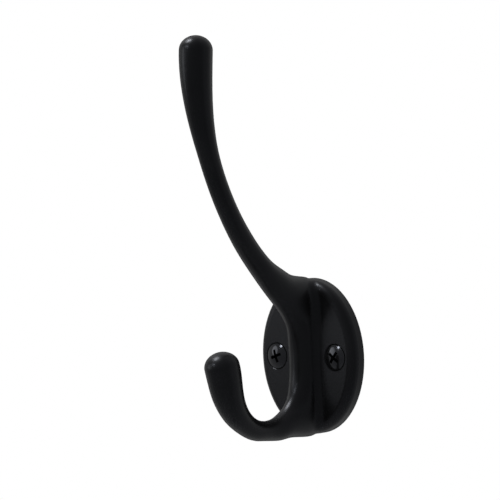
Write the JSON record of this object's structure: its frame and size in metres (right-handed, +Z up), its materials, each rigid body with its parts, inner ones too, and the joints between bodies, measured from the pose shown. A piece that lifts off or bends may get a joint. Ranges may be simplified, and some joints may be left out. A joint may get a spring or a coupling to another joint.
{
  "type": "coat hook",
  "caption": "Wall coat hook with a long upper arm, a short lower J hook and domed tips, cast in one piece with an oval plate that countersunk screws hold.",
  "frame": {"origin": "centre of the plate's back face, which lies on the wall", "axes": "+Y into the wall, +Z up, +X to the right for a person who faces the wall; the hook stands out along -Y"},
  "size_m": [0.0366, 0.0718, 0.1173],
  "materials": {
    "black_coating": "satin black powder coat over cast zinc",
    "black_screw": "black coated steel, a little glossier than the casting"
  },
  "bodies": {
    "root": {"hook_body": "black_coating", "mounting_screws": "black_screw"}
  },
  "joints": []
}
